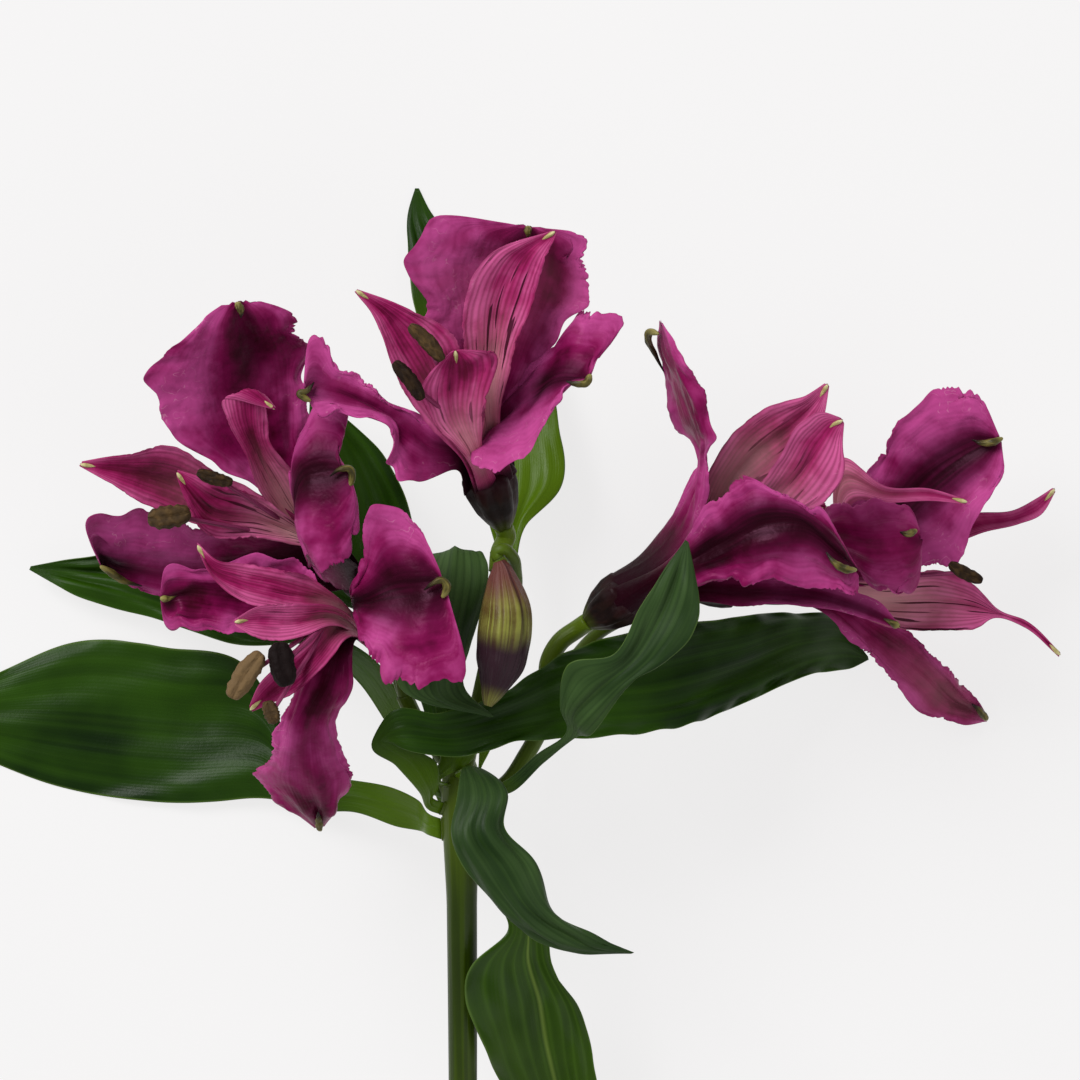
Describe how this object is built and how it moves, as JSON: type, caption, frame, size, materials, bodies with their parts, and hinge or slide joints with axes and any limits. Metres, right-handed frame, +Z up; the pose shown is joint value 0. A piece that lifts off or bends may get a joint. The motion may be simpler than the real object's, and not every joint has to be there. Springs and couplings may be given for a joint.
{
  "type": "alstroemeria stem",
  "caption": "Cut alstroemeria stem lying on a surface, with leaves, a bud and an open head of magenta blooms on short stalks.",
  "frame": {"origin": "middle of the bounding box's bottom, on the surface that the stem lies on", "axes": "+Z up, away from the surface; +Y along the stem from its cut end to its head; +X to the right as seen from above with the head away from the viewer"},
  "size_m": [0.237, 0.2936, 0.0813],
  "materials": {
    "stem_green": "satin, fresh plant skin",
    "leaf_green": "satin, fresh leaf",
    "tepal_magenta": "soft satin, fresh petal",
    "bud_green": "satin, closed bud"
  },
  "bodies": {
    "root": {"stem": "stem_green", "leaf_left_long": "leaf_green", "leaf_left_upper": "leaf_green", "leaf_behind_left": "leaf_green", "leaf_folded": "leaf_green", "leaf_right_long": "leaf_green", "leaf_front_right": "leaf_green", "leaf_front_low": "leaf_green", "leaf_low": "leaf_green", "leaf_top_behind": "leaf_green", "bloom_upper_left": "tepal_magenta", "bloom_lower_left": "tepal_magenta", "bloom_top": "tepal_magenta", "bloom_right": "tepal_magenta", "bloom_far_right": "tepal_magenta", "bud": "bud_green"}
  },
  "joints": []
}
